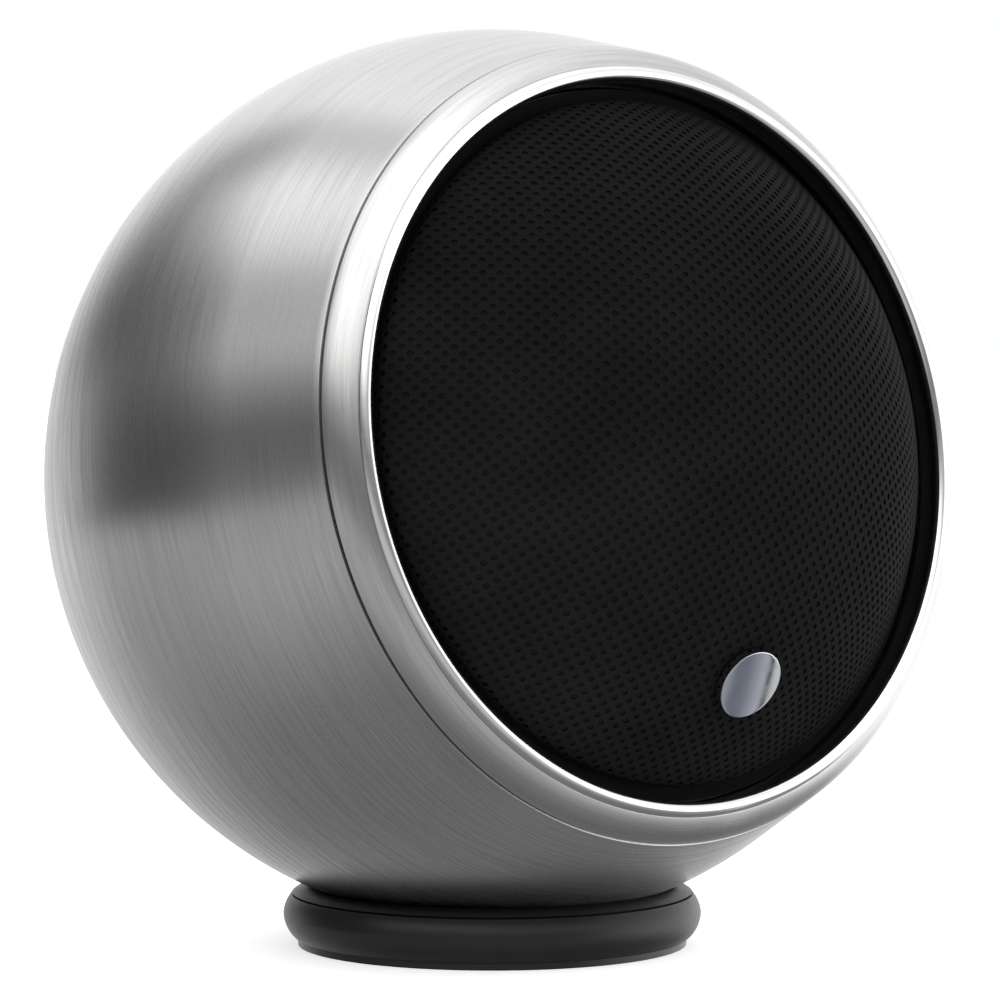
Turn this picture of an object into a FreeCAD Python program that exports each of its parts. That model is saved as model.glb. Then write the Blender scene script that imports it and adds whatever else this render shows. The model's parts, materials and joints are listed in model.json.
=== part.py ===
"""Ball-shaped desktop speaker resting in a rubber ring base.

Row frame: +Z up, the speaker faces -Y, the origin is the centre of the base's underside.
Head pieces are drawn about the ball's centre with the baffle axis along -Y ("forward"), and are then
tilted up and lifted onto the base by HEAD.
"""
import FreeCAD, Part
import math
import os
import re

import Sketcher

Vector = FreeCAD.Vector
Rotation = FreeCAD.Rotation
Placement = FreeCAD.Placement

SIZES = {
    # the ball and the way it sits
    "ball_radius": 52.0, "ball_height": 54.4, "head_tilt": 9.5, "shell_wall": 1.2,
    # the shells are a ball behind the shoulder, a straight cone from there to the seam, and a
    # rounded lip from the seam to the polished bead
    "shoulder_angle": 19.33, "seam_forward": 29.1, "seam_gap": 0.4, "seam_depth": 0.4,
    "lip_rounding": 5.17, "lip_forward": 32.1, "lip_wall": 1.4,
    # polished trim ring round the mouth
    "mouth_radius": 40.35, "bead_radius": 0.85, "bead_forward": 32.05, "trim_back": 24.5,
    # joining ring behind the seam and the gasket behind it
    "band_back": 21.1, "band_ledge": 24.45, "band_front": 30.25, "gasket_wall": 0.6,
    "fit_gap": 0.05, "free_gap": 0.3, "slip": 0.1, "over": 1.0, "bevel": 0.3,
    # baffle and its collar, which holds the grille magnets
    "baffle_wall": 3.0, "baffle_radius": 46.0, "baffle_mouth": 33.0,
    "collar_inner": 37.9, "collar_outer": 40.2, "collar_front": 27.9,
    "magnet_circle": 38.95, "magnet_radius": 0.8, "magnet_length": 3.0,
    "baffle_screw_circle": 43.0, "baffle_screw_radius": 1.25, "baffle_screw_reach": 23.5,
    # grille
    "grille_radius": 38.5, "grille_dome": 49.5, "mesh_wall": 0.45,
    "grille_roll": 1.2, "mesh_back": 29.3, "frame_inner": 36.2, "frame_flange": 40.0,
    "flange_wall": 1.0, "badge_radius": 4.0, "badge_height": 1.0, "badge_down": 27.9, "badge_bevel": 0.3,
    # driver: basket, motor and moving parts
    "basket_radius": 37.6, "flange_front": 23.1, "basket_wall": 1.5, "basket_back": 4.6,
    "basket_foot": 23.0, "basket_throat": 32.7, "basket_neck": 0.5, "basket_hole": 14.6, "spider_step": 9.0,
    "spider_bed": 20.2, "window_width": 16.0, "window_back": 11.5, "window_front": 19.2,
    "driver_screw_circle": 36.0, "driver_screw_radius": 1.0, "driver_screw_reach": 17.8,
    "plate_wall": 4.0, "plate_inner": 14.3, "plate_radius": 22.5,
    "magnet_wall": 10.0, "magnet_inner": 15.6, "magnet_outer": 24.0,
    "pole_radius": 12.4, "yoke_wall": 4.0, "yoke_radius": 22.0,
    "neck_radius": 13.15, "neck_forward": 11.2, "cone_radius": 25.6, "cone_wall": 0.7,
    "cone_rim": 0.8, "former_inner": 12.85, "former_outer": 13.1, "former_back": 1.5,
    "coil_outer": 13.8, "coil_half": 3.5, "cap_radius": 14.6, "cap_forward": 13.35,
    "cap_crown": 17.54, "cap_dome": 27.5, "cap_wall": 0.4,
    "roll_radius": 2.7, "roll_middle": 28.5, "surround_wall": 0.4, "surround_land": 34.3,
    "spider_inner": 13.3, "spider_outer": 22.0, "spider_wall": 0.3, "spider_wave": 0.7,
    # terminal cup, its screws and the binding posts; "back" is measured behind the ball's centre
    "cup_flange": 23.1, "cup_body": 19.3, "cup_inner": 17.8, "cup_back": 46.2,
    "cup_flange_wall": 1.2, "cup_floor": 35.0, "cup_floor_wall": 2.0, "ledge_inner": 19.6,
    "ledge_wall": 1.6, "rear_mouth": 23.4, "cup_screw_circle": 21.3, "cup_screw_radius": 0.9,
    "post_spacing": 19.0, "stud_radius": 3.0, "stud_front": 26.5, "stud_back": 46.8,
    "socket_radius": 2.0, "socket_depth": 7.8, "wire_hole": 0.9, "wire_back": 37.3,
    "bush_flange": 5.2, "bush_sleeve": 3.9, "bush_wall": 1.2, "post_nut": 8.0,
    "post_nut_wall": 3.0, "tag_wall": 0.6, "tag_radius": 4.2, "tag_reach": 8.0,
    "clamp_radius": 4.9, "clamp_front": 36.3, "clamp_back": 38.5, "knob_radius": 5.5,
    "knob_front": 38.65, "knob_back": 47.4, "knob_rounding": 0.8, "knurl_radius": 0.55,
    "knurl_proud": 0.2, "knurl_end": 1.2,
    # threaded insert at the ball's lowest point
    "thread_radius": 2.5, "thread_depth": 10.0, "insert_radius": 5.0, "insert_flange": 7.5,
    "insert_face": 51.5, "insert_wall": 1.5,
    # wadding and leads
    "wadding_radius": 34.0, "wadding_front": 15.5, "wadding_thickness": 9.0,
    "lead_radius": 0.6, "flex_radius": 0.35, "lead_stand_off": 0.3, "lead_up_tab": 3.7,
    # tab strip on the basket
    "strip_width": 14.0, "strip_back": 9.4, "strip_wall": 1.2, "strip_low": 26.8,
    "strip_tall": 6.4, "tab_width": 3.0, "tab_across": 4.5, "tab_tall": 5.0,
    "tab_edge": 0.5,
    # base ring, seat collar and foot
    "base_radius": 24.4, "base_bulge": 3.36, "base_crease": 23.5, "crease_height": 5.9,
    "base_foot_radius": 22.9, "base_bore": 18.65, "foot_height": 0.8, "foot_inner": 19.0,
    "base_ledge_radius": 22.7, "base_ledge": 4.5,
    "ballast_inner": 19.9, "ballast_outer": 22.0, "ballast_top": 3.8,
    "skirt_inner": 16.7, "skirt_foot": 1.2, "crease_gap": 0.2, "lip_radius": 21.45,
    "lip_height": 6.88, "lip_dome": 3.6, "liner_wall": 0.5, "liner_inner": 17.2,
    "liner_outer": 20.6,
}

doc = FreeCAD.newDocument("desktop_speaker")
sheet = doc.addObject("Spreadsheet::Sheet", "Sizes")
for row, (alias, number) in enumerate(SIZES.items(), start=1):
    sheet.set(f"A{row}", alias)
    sheet.set(f"B{row}", str(number))
    sheet.setAlias(f"B{row}", alias)
doc.recompute()

SUBPARTS = []
WORD = re.compile(r"[a-z_]{3,}")


def size(text):
    """The number that a formula over the sheet's sizes comes to."""
    return float(sheet.evalExpression(str(text)))


def bound(text):
    """The same formula as another object writes it, with the sheet's name before each size."""
    return WORD.sub(lambda m: f"Sizes.{m.group()}" if m.group() in SIZES else m.group(), str(text))


def bind(thing, **formulas):
    for name, formula in formulas.items():
        thing.setExpression(name.replace("__", "."), bound(formula))


HEAD = Placement(Vector(0, 0, size("ball_height")), Rotation(Vector(1, 0, 0), -size("head_tilt")))
BASE = Placement()
# outlines are drawn a little round from the planes of symmetry, so that no seam lies in one of them
SEAM_TURN = Placement(Vector(), Rotation(Vector(0, 1, 0), 10))
# each post is screwed home with its wire hole a little off the vertical
STUD_TURN = Placement(Vector(), Rotation(Vector(0, 1, 0), 20))


def moved(x=0.0, y=0.0, z=0.0):
    return Placement(Vector(x, y, z), Rotation())


def keep(thing, label, home):
    """Name a finished sub-part, place it and put it on the list to write."""
    thing.Label = label
    thing.Placement = home
    SUBPARTS.append(thing)
    return thing


def new_body(label, home):
    body = doc.addObject("PartDesign::Body", label)
    body.AllowCompound = True
    return keep(body, label, home)


def origin_of(body, role):
    return next(item for item in body.Origin.OriginFeatures if item.Role == role)


def arc_through(start, end, radius, turn):
    """The shorter arc from start to end; turn +1 goes anticlockwise, -1 clockwise."""
    chord = end - start
    reach = math.sqrt(max(radius ** 2 - (chord.Length / 2) ** 2, 0.0))
    side = Vector(-chord.y, chord.x, 0).normalize() * turn
    centre = (start + end) * 0.5 + side * reach
    first, last = (start, end) if turn > 0 else (end, start)
    angles = [math.atan2(p.y - centre.y, p.x - centre.x) for p in (first, last)]
    if angles[1] < angles[0]:
        angles[1] += 2 * math.pi
    return Part.ArcOfCircle(Part.Circle(centre, Vector(0, 0, 1), radius), *angles)


def draw_outline(body, plane, outline):
    """A closed, fully bound sketch. Each entry is (x, y) or (x, y, radius, turn), all formulas: the
    longer form leaves its corner on an arc instead of a line."""
    sketch = body.newObject("Sketcher::SketchObject", body.Label + "_outline")
    sketch.AttachmentSupport = [(origin_of(body, plane), "")]
    sketch.MapMode = "FlatFace"
    corners = [Vector(size(entry[0]), size(entry[1]), 0) for entry in outline]
    ends = []
    for number, entry in enumerate(outline):
        start, end = corners[number], corners[(number + 1) % len(corners)]
        if len(entry) == 2:
            sketch.addGeometry(Part.LineSegment(start, end))
            ends.append((1, 2))
        else:
            sketch.addGeometry(arc_through(start, end, size(entry[2]), entry[3]))
            ends.append((1, 2) if entry[3] > 0 else (2, 1))
    for number, entry in enumerate(outline):
        following = (number + 1) % len(outline)
        sketch.addConstraint(Sketcher.Constraint(
            "Coincident", number, ends[number][1], following, ends[following][0]))
        for kind, formula, value in (("DistanceX", entry[0], corners[number].x),
                                     ("DistanceY", entry[1], corners[number].y)):
            added = sketch.addConstraint(
                Sketcher.Constraint(kind, -1, 1, number, ends[number][0], value))
            sketch.setExpression(f"Constraints[{added}]", bound(formula))
        if len(entry) > 2 and (corners[following] - corners[number]).Length > 1.999 * size(entry[2]):
            sketch.addConstraint(Sketcher.Constraint("Symmetric", number, 1, number, 2, number, 3))
        elif len(entry) > 2:
            added = sketch.addConstraint(Sketcher.Constraint("Radius", number, size(entry[2])))
            sketch.setExpression(f"Constraints[{added}]", bound(entry[2]))
    return sketch


def turned(label, outline, home=HEAD, along="forward"):
    """A body turned about its axis. The outline's second value runs forward (-Y) or back (+Y) from
    the ball's centre, or up (+Z)."""
    body = new_body(label, home)
    if along == "forward":
        outline = [(entry[0], f"-({entry[1]})", *entry[2:3], *(-turn for turn in entry[3:]))
                   for entry in outline]
    plane = "XZ_Plane" if along == "up" else "XY_Plane"
    sketch = draw_outline(body, plane, outline)
    sketch.AttachmentOffset = SEAM_TURN
    turn = body.newObject("PartDesign::Revolution", label + "_turn")
    turn.Profile = (sketch, [""])
    turn.ReferenceAxis = (sketch, ["V_Axis"])
    turn.Angle = 360
    return body


AXES = {"forward": Rotation(Vector(1, 0, 0), 90), "back": Rotation(Vector(1, 0, 0), -90),
        "up": Rotation(), "across": Rotation(Vector(0, 1, 0), 90)}


def primitive(body, kind, name, at, along="up", **formulas):
    """A PartDesign primitive at a place given by three formulas, its own axis laid along a way."""
    feature = body.newObject("PartDesign::" + kind, name)
    feature.Placement = Placement(Vector(*(size(value) for value in at)), AXES[along])
    for axis, formula in zip("xyz", at):
        feature.setExpression("Placement.Base." + axis, bound(formula))
    bind(feature, **formulas)
    return feature


def around(body, name, features, count, axis="Y_Axis"):
    """Repeat features evenly round the body's own axis."""
    doc.recompute()
    pattern = body.newObject("PartDesign::PolarPattern", name)
    pattern.Originals = features
    pattern.Axis = (origin_of(body, axis), [""])
    pattern.Angle = 360
    pattern.Occurrences = count
    body.Tip = pattern
    return pattern


def drilled(body, count, circle, radius, back, length):
    """Round holes along the body's axis, on a circle, opening forward from a distance back."""
    hole = primitive(body, "SubtractiveCylinder", body.Label + "_hole", (circle, back, 0),
                     "forward", Radius=radius, Height=length)
    return around(body, body.Label + "_holes", [hole], count)


def screws(label, count, circle, shank, seat, tip, start=0.0):
    """Pan-head screws on a circle round the head's axis, turned about their own axes. The head
    stands on the seat plane, on the side away from the tip; both are distances forward."""
    body = new_body(label, HEAD.multiply(Placement(Vector(), Rotation(Vector(0, 1, 0), start))))
    way = "1" if size(tip) < size(seat) else "-1"
    crown, rounding = f"{seat} + {way} * {shank} * 1.2", f"0.5 * {shank}"
    rim = f"{crown} - {way} * {rounding}"
    bend = -1 if way == "1" else 1
    outline = [("0", tip), (shank, tip), (shank, seat), (f"1.6 * {shank}", seat),
               (f"1.6 * {shank}", rim, rounding, -bend), (f"1.6 * {shank} - {rounding}", crown),
               ("0", crown)]
    outline = [(f"{circle} + {entry[0]}", f"-({entry[1]})", *entry[2:3],
                *(-turn for turn in entry[3:])) for entry in outline]
    sketch = draw_outline(body, "XY_Plane", outline)
    line = sketch.addGeometry(
        Part.LineSegment(Vector(size(circle), 0, 0), Vector(size(circle), 10, 0)), True)
    sketch.addConstraint(Sketcher.Constraint("Vertical", line))
    sketch.addConstraint(Sketcher.Constraint("PointOnObject", line, 1, -1))
    sketch.addConstraint(Sketcher.Constraint("DistanceY", line, 1, line, 2, 10))
    added = sketch.addConstraint(Sketcher.Constraint("DistanceX", -1, 1, line, 1, size(circle)))
    sketch.setExpression(f"Constraints[{added}]", bound(circle))
    turn = body.newObject("PartDesign::Revolution", label + "_turn")
    turn.Profile = (sketch, [""])
    turn.ReferenceAxis = (sketch, ["Axis0"])
    turn.Angle = 360
    return around(body, label + "_ring", [turn], count)


def cone_at(forward, depth="0"):
    """Radius of the shells' straight cone at a distance forward, a depth below the surface."""
    return f"(ball_radius - ({depth}) - ({forward}) * sin(shoulder_angle)) / cos(shoulder_angle)"


def ball_at(radius, depth="0"):
    """How far along the axis the ball's surface, less a depth, has a radius."""
    return f"sqrt((ball_radius - ({depth}))^2 - ({radius})^2)"


def make_shells():
    wall = "shell_wall"
    inner = f"ball_radius - {wall}"
    rear_edge = "seam_forward - seam_gap / 2"
    front_edge = "seam_forward + seam_gap / 2"
    ledge_back = "cup_back - cup_flange_wall - gasket_wall"
    ledge_front = f"{ledge_back} - ledge_wall"
    trim_outer = "mouth_radius + 2 * bead_radius"
    rear = turned("rear_shell", [
        ("rear_mouth", "-" + ball_at("rear_mouth"), "ball_radius", +1),
        ("ball_radius * cos(shoulder_angle)", "ball_radius * sin(shoulder_angle)"),
        (cone_at(rear_edge), rear_edge),
        (cone_at(rear_edge, wall), rear_edge),
        (f"({inner}) * cos(shoulder_angle)", f"({inner}) * sin(shoulder_angle)", inner, -1),
        (ball_at(ledge_front, wall), f"-({ledge_front})"),
        ("ledge_inner", f"-({ledge_front})"),
        ("ledge_inner", f"-({ledge_back})"),
        ("rear_mouth", f"-({ledge_back})")])
    drilled(rear, 4, "cup_screw_circle", "cup_screw_radius + fit_gap", "cup_back", "cup_back / 6")
    primitive(rear, "SubtractiveCylinder", "insert_hole", (0, 0, "-ball_radius"),
              Radius="insert_radius + fit_gap", Height="4 * shell_wall")
    turned("front_shell", [
        (cone_at(front_edge), front_edge, "lip_rounding", +1),
        (f"{trim_outer} + 2 * fit_gap", "lip_forward"),
        (f"{trim_outer} + 2 * fit_gap", "lip_forward - lip_wall"),
        (cone_at(front_edge, wall), front_edge)])
    turned("trim_ring", [
        ("mouth_radius", "trim_back"),
        (trim_outer, "trim_back"),
        (trim_outer, "bead_forward", "bead_radius", +1),
        ("mouth_radius", "bead_forward")])
    slack = f"{wall} + 2 * fit_gap"
    turned("joining_ring", [
        ("mouth_radius + fit_gap", "band_back"),
        (cone_at("band_back", slack), "band_back"),
        (cone_at(rear_edge, slack), rear_edge),
        (cone_at(rear_edge, "seam_depth"), f"{rear_edge} + fit_gap"),
        (cone_at(rear_edge, "seam_depth"), f"{front_edge} - fit_gap"),
        (cone_at(front_edge, slack), f"{front_edge} - fit_gap"),
        (f"{trim_outer} + fit_gap", "band_front"),
        (f"{trim_outer} + fit_gap", "band_ledge"),
        ("mouth_radius + fit_gap", "band_ledge")])
    turned("shell_gasket", [
        ("mouth_radius + fit_gap", "band_back - gasket_wall"),
        ("baffle_radius", "band_back - gasket_wall"),
        ("baffle_radius", "band_back"),
        ("mouth_radius + fit_gap", "band_back")])


def make_baffle():
    front = "band_back - gasket_wall"
    back = f"{front} - baffle_wall"
    baffle = turned("baffle_ring", [
        ("baffle_mouth", back),
        ("baffle_radius", back),
        ("baffle_radius", front),
        ("collar_outer", front),
        ("collar_outer", "collar_front"),
        ("collar_inner", "collar_front"),
        ("collar_inner", front),
        ("baffle_mouth", front)])
    drilled(baffle, 4, "magnet_circle", "magnet_radius + fit_gap",
            "magnet_length - collar_front", "2 * magnet_length")
    inner_hole = primitive(baffle, "SubtractiveCylinder", "driver_screw_hole",
                           ("driver_screw_circle * cos(45)", f"-({back}) + over",
                            "driver_screw_circle * sin(45)"), "forward",
                           Radius="driver_screw_radius + fit_gap",
                           Height="baffle_wall + 2 * over")
    around(baffle, "driver_screw_holes", [inner_hole], 4)
    outer_hole = primitive(baffle, "SubtractiveCylinder", "band_screw_hole",
                           ("baffle_screw_circle", f"-({back}) + over", 0), "forward",
                           Radius="baffle_screw_radius + fit_gap",
                           Height="baffle_wall + 2 * over")
    around(baffle, "band_screw_holes", [outer_hole], 6)
    for label in ("shell_gasket", "joining_ring"):
        body = next(item for item in SUBPARTS if item.Label == label)
        drilled(body, 6, "baffle_screw_circle", "baffle_screw_radius + fit_gap",
                f"-({back})", f"baffle_screw_reach - ({back}) + fit_gap")
    screws("baffle_screws", 6, "baffle_screw_circle", "baffle_screw_radius", back,
           "baffle_screw_reach")
    magnets = new_body("grille_magnets", HEAD)
    magnet = primitive(magnets, "AdditiveCylinder", "grille_magnet",
                       ("magnet_circle", "magnet_length - collar_front", 0), "forward",
                       Radius="magnet_radius", Height="magnet_length")
    around(magnets, "magnet_ring", [magnet], 4)


def make_grille():
    edge, dome = "(grille_radius - grille_roll)", "(grille_dome - grille_roll)"
    roll_forward = f"sqrt({dome}^2 - {edge}^2)"
    turned("grille_mesh", [
        ("grille_radius - mesh_wall", "mesh_back"),
        ("grille_radius", "mesh_back"),
        ("grille_radius", roll_forward, "grille_roll", +1),
        (f"grille_dome * {edge} / {dome}", f"grille_dome * {roll_forward} / {dome}",
         "grille_dome", +1),
        (0, "grille_dome"),
        (0, "grille_dome - mesh_wall", "grille_dome - mesh_wall", -1),
        (f"(grille_dome - mesh_wall) * {edge} / {dome}",
         f"(grille_dome - mesh_wall) * {roll_forward} / {dome}", "grille_roll - mesh_wall", -1),
        ("grille_radius - mesh_wall", roll_forward)])
    flange_back = "collar_front + free_gap"
    frame = turned("grille_frame", [
        ("frame_inner", flange_back),
        ("frame_flange", flange_back),
        ("frame_flange", f"{flange_back} + flange_wall"),
        ("grille_radius - mesh_wall - fit_gap", f"{flange_back} + flange_wall"),
        ("grille_radius - mesh_wall - fit_gap", roll_forward),
        ("frame_inner", roll_forward)])
    depth = "flange_wall / 2"
    drilled(frame, 4, "magnet_circle", "magnet_radius + fit_gap", f"over - ({flange_back})",
            f"over + {depth} + fit_gap")
    catches = new_body("grille_catches", HEAD)
    catch = primitive(catches, "AdditiveCylinder", "grille_catch",
                      ("magnet_circle", f"-({flange_back})", 0), "forward",
                      Radius="magnet_radius", Height=depth)
    around(catches, "catch_ring", [catch], 4)
    face = Vector(0, -math.sqrt(size("grille_dome") ** 2 - size("badge_down") ** 2),
                  -size("badge_down"))
    seat = Placement(face * (1 + size("fit_gap") / size("grille_dome")),
                     Rotation(Vector(0, -1, 0), face))
    turned("badge", [
        (0, 0),
        ("badge_radius", 0),
        ("badge_radius", "badge_height - badge_bevel"),
        ("badge_radius - badge_bevel", "badge_height", "40 * badge_radius", +1),
        (0, "badge_height + badge_bevel / 6")], HEAD.multiply(seat))


def make_driver():
    gasket_back = "band_back - gasket_wall"
    flange_back = "band_back"
    turned("driver_gasket", [
        ("baffle_mouth + 2 * slip", gasket_back), ("basket_radius - 2 * slip", gasket_back),
        ("basket_radius - 2 * slip", flange_back), ("baffle_mouth + 2 * slip", flange_back)])
    slope = "(basket_throat - basket_foot) / (band_back - basket_neck - basket_back)"
    basket = turned("driver_basket", [
        ("basket_hole", "basket_back"),
        ("basket_foot", "basket_back"),
        ("basket_throat", "band_back - basket_neck"),
        ("basket_throat", flange_back),
        ("basket_radius", flange_back),
        ("basket_radius", "flange_front"),
        ("basket_throat - basket_wall", "flange_front"),
        ("basket_throat - basket_wall", "band_back"),
        (f"basket_foot - 0.9 * basket_wall + {slope} * (spider_step - basket_back)", "spider_step"),
        ("spider_bed", "spider_step"),
        ("spider_bed", "basket_back + basket_wall"),
        ("basket_hole", "basket_back + basket_wall")])
    window = primitive(basket, "SubtractiveBox", "window",
                       ("-window_width / 2", "-window_front", "spider_bed - over"), "up",
                       Length="window_width", Width="window_front - window_back",
                       Height="window_width")
    around(basket, "windows", [window], 4)
    for label in ("driver_basket", "driver_gasket"):
        body = next(item for item in SUBPARTS if item.Label == label)
        hole = primitive(body, "SubtractiveCylinder", label + "_hole",
                         ("driver_screw_circle * cos(45)", f"-({gasket_back}) + over",
                          "driver_screw_circle * sin(45)"), "forward",
                         Radius="driver_screw_radius + fit_gap", Height="4 * basket_wall")
        around(body, label + "_holes", [hole], 4)
    turned("front_plate", [
        ("plate_inner", "basket_back - plate_wall"), ("plate_radius", "basket_back - plate_wall"),
        ("plate_radius", "basket_back"), ("plate_inner", "basket_back")])
    magnet_front = "basket_back - plate_wall"
    magnet_back = f"{magnet_front} - magnet_wall"
    turned("ring_magnet", [
        ("magnet_inner", magnet_back), ("magnet_outer", magnet_back),
        ("magnet_outer", magnet_front), ("magnet_inner", magnet_front)])
    turned("pole_piece", [
        (0, f"{magnet_back} - yoke_wall"), ("yoke_radius", f"{magnet_back} - yoke_wall"),
        ("yoke_radius", magnet_back), ("pole_radius", magnet_back),
        ("pole_radius", "basket_back"), (0, "basket_back")])
    make_moving_parts()
    make_suspension()
    screws("driver_screws", 4, "driver_screw_circle", "driver_screw_radius", "flange_front",
           "driver_screw_reach", 45.0)
    make_tab_strip()


def make_moving_parts():
    rim = "flange_front"
    turned("cone", [
        ("neck_radius", "neck_forward"),
        ("cone_radius - 4 * slip", f"{rim} - cone_rim - 2 * slip"),
        ("cone_radius", f"{rim} - cone_rim"),
        ("cone_radius", rim),
        ("cone_radius - cone_rim", rim),
        ("neck_radius", "neck_forward + cone_wall")])
    turned("dust_cap", [
        ("cap_radius", "cap_forward", "cap_dome", +1),
        (0, "cap_crown"),
        (0, "cap_crown - cap_wall", "cap_dome - cap_wall", -1),
        ("cap_radius - 3 * cap_wall", "cap_forward")])
    turned("coil_former", [
        ("former_inner", "-former_back"), ("former_outer", "-former_back"),
        ("former_outer", "neck_forward + 2 * cone_wall"),
        ("former_inner", "neck_forward + 2 * cone_wall")])
    middle = "basket_back - plate_wall / 2"
    turned("voice_coil", [
        ("former_outer", f"{middle} - coil_half"), ("coil_outer", f"{middle} - coil_half"),
        ("coil_outer", f"{middle} + coil_half"), ("former_outer", f"{middle} + coil_half")])


def make_suspension():
    """The rubber half-roll round the cone and the corrugated spider round the coil."""
    low = "flange_front + fit_gap"
    high = f"{low} + surround_wall"
    outer, inner = "roll_middle + roll_radius", "roll_middle - roll_radius"
    turned("surround", [
        ("surround_land", low),
        ("surround_land", high),
        (outer, high, "roll_radius", +1),
        (inner, high),
        ("cone_radius - cone_rim", high),
        ("cone_radius - cone_rim", low),
        (f"{inner} + surround_wall", low, "roll_radius - surround_wall", -1),
        (f"{outer} - surround_wall", low)])
    waves = 4
    low, high = "spider_step + fit_gap", "spider_step + fit_gap + spider_wall"
    landing = "(spider_outer - spider_bed)"
    pitch = f"(spider_outer - {landing} - spider_inner) / {waves}"
    forward = [(f"spider_inner + {number} * {pitch}", high, "spider_wave * 2", (-1) ** number)
               for number in range(waves, 0, -1)]
    backward = [(f"spider_inner + {number} * {pitch}", low, "spider_wave * 2", (-1) ** number)
                for number in range(waves)]
    turned("spider", [("spider_outer", low), ("spider_outer", high), *forward,
                      ("spider_inner", high), *backward, (f"spider_inner + {waves} * {pitch}", low)])


def make_tab_strip():
    strip = new_body("tab_strip", HEAD)
    primitive(strip, "AdditiveBox", "strip",
              ("-strip_width / 2", "-strip_back - strip_wall", "strip_low"),
              Length="strip_width", Width="strip_wall", Height="strip_tall")
    tabs = new_body("driver_tabs", HEAD)
    for side, sign in (("left", -1), ("right", 1)):
        primitive(tabs, "AdditiveBox", side + "_tab",
                  (f"{sign} * tab_across - tab_width / 2", "-strip_back", "strip_low + tab_edge"),
                  Length="tab_width", Width="tag_wall", Height="tab_tall")


def make_terminals():
    flange_front = "cup_back - cup_flange_wall"
    floor_front = "cup_floor - cup_floor_wall"
    cup = turned("terminal_cup", [
        (0, floor_front), ("cup_body", floor_front), ("cup_body", flange_front),
        ("cup_flange", flange_front), ("cup_flange", "cup_back"), ("cup_inner", "cup_back"),
        ("cup_inner", "cup_floor"), (0, "cup_floor")], along="back")
    drilled(cup, 4, "cup_screw_circle", "cup_screw_radius + slip", "cup_back + over",
            "cup_flange_wall + 2 * over")
    for name, sign in (("right", 1), ("left", -1)):
        primitive(cup, "SubtractiveCylinder", name + "_post_hole",
                  (f"{sign} * post_spacing / 2", "cup_floor + over", 0), "forward",
                  Radius="bush_sleeve + slip", Height="cup_floor_wall + 2 * over")
    gasket = turned("cup_gasket", [
        ("ledge_inner + slip", f"{flange_front} - gasket_wall + fit_gap"),
        ("cup_flange", f"{flange_front} - gasket_wall + fit_gap"),
        ("cup_flange", f"{flange_front} - fit_gap"),
        ("ledge_inner + slip", f"{flange_front} - fit_gap")], along="back")
    drilled(gasket, 4, "cup_screw_circle", "cup_screw_radius + slip", "cup_back", "cup_back / 10")
    screws("cup_screws", 4, "cup_screw_circle", "cup_screw_radius", "-cup_back",
           "cup_flange_wall + gasket_wall + ledge_wall - 2 * slip - cup_back")
    for colour, sign in (("red", 1), ("black", -1)):
        make_post(colour, HEAD.multiply(moved(x=sign * size("post_spacing") / 2)))


def make_post(colour, home):
    """One binding post. Its stud, bush, nut and tag stay with the cup; the clamp and knob move."""
    stud = turned("stud_" + colour, [
        (0, "stud_front"), ("stud_radius", "stud_front"), ("stud_radius", "stud_back - bevel"),
        ("stud_radius - bevel", "stud_back"), ("socket_radius", "stud_back"),
        ("socket_radius", "stud_back - socket_depth"), (0, "stud_back - socket_depth")],
        home.multiply(STUD_TURN), "back")
    primitive(stud, "SubtractiveCylinder", "wire_way", ("0", "wire_back", "-2 * stud_radius"),
              Radius="wire_hole", Height="4 * stud_radius")
    bore = "stud_radius + fit_gap"
    bush_back = "cup_floor + bush_wall"
    turned("bush_" + colour, [
        (bore, "cup_floor - cup_floor_wall + 2 * slip"),
        ("bush_sleeve", "cup_floor - cup_floor_wall + 2 * slip"),
        ("bush_sleeve", "cup_floor + fit_gap"), ("bush_flange", "cup_floor + fit_gap"),
        ("bush_flange", bush_back), (bore, bush_back)], home, "back")
    tag_back = "cup_floor - cup_floor_wall - fit_gap"
    tag = new_body("solder_tag_" + colour, home)
    primitive(tag, "AdditiveCylinder", "eye", (0, tag_back, 0), "forward",
              Radius="tag_radius", Height="tag_wall")
    primitive(tag, "AdditiveBox", "lug", ("-tab_width / 2", f"{tag_back} - tag_wall", "stud_radius"),
              Length="tab_width", Width="tag_wall", Height="tag_reach - stud_radius")
    primitive(tag, "SubtractiveCylinder", "eye_hole", (0, f"{tag_back} + over", 0), "forward",
              Radius=bore, Height="tag_wall + 2 * over")
    nut = new_body("nut_" + colour, home)
    nut_back = f"{tag_back} - tag_wall - fit_gap"
    primitive(nut, "AdditivePrism", "hexagon", (0, nut_back, 0), "forward",
              Circumradius="post_nut / (2 * cos(30))", Height="post_nut_wall")
    primitive(nut, "SubtractiveCylinder", "nut_hole", (0, f"{nut_back} + over", 0), "forward",
              Radius=bore, Height="post_nut_wall + 2 * over")
    turned("clamp_" + colour, [
        ("stud_radius + 2 * fit_gap", "clamp_front"), ("clamp_radius", "clamp_front"),
        ("clamp_radius", "clamp_back"), ("stud_radius + 2 * fit_gap", "clamp_back")], home, "back")
    knob = turned("knob_" + colour, [
        (bore, "knob_front"), ("knob_radius - bevel", "knob_front"),
        ("knob_radius", "knob_front + bevel"),
        ("knob_radius", "knob_back - knob_rounding", "knob_rounding", +1),
        ("knob_radius - knob_rounding", "knob_back"), (bore, "knob_back")], home, "back")
    groove = primitive(knob, "SubtractiveCylinder", "knurl",
                       ("knob_radius + knurl_proud", "knob_back - knurl_end", 0), "forward",
                       Radius="knurl_radius", Height="knob_back - knob_front - 2 * knurl_end")
    around(knob, "knurls", [groove], 16)


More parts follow.
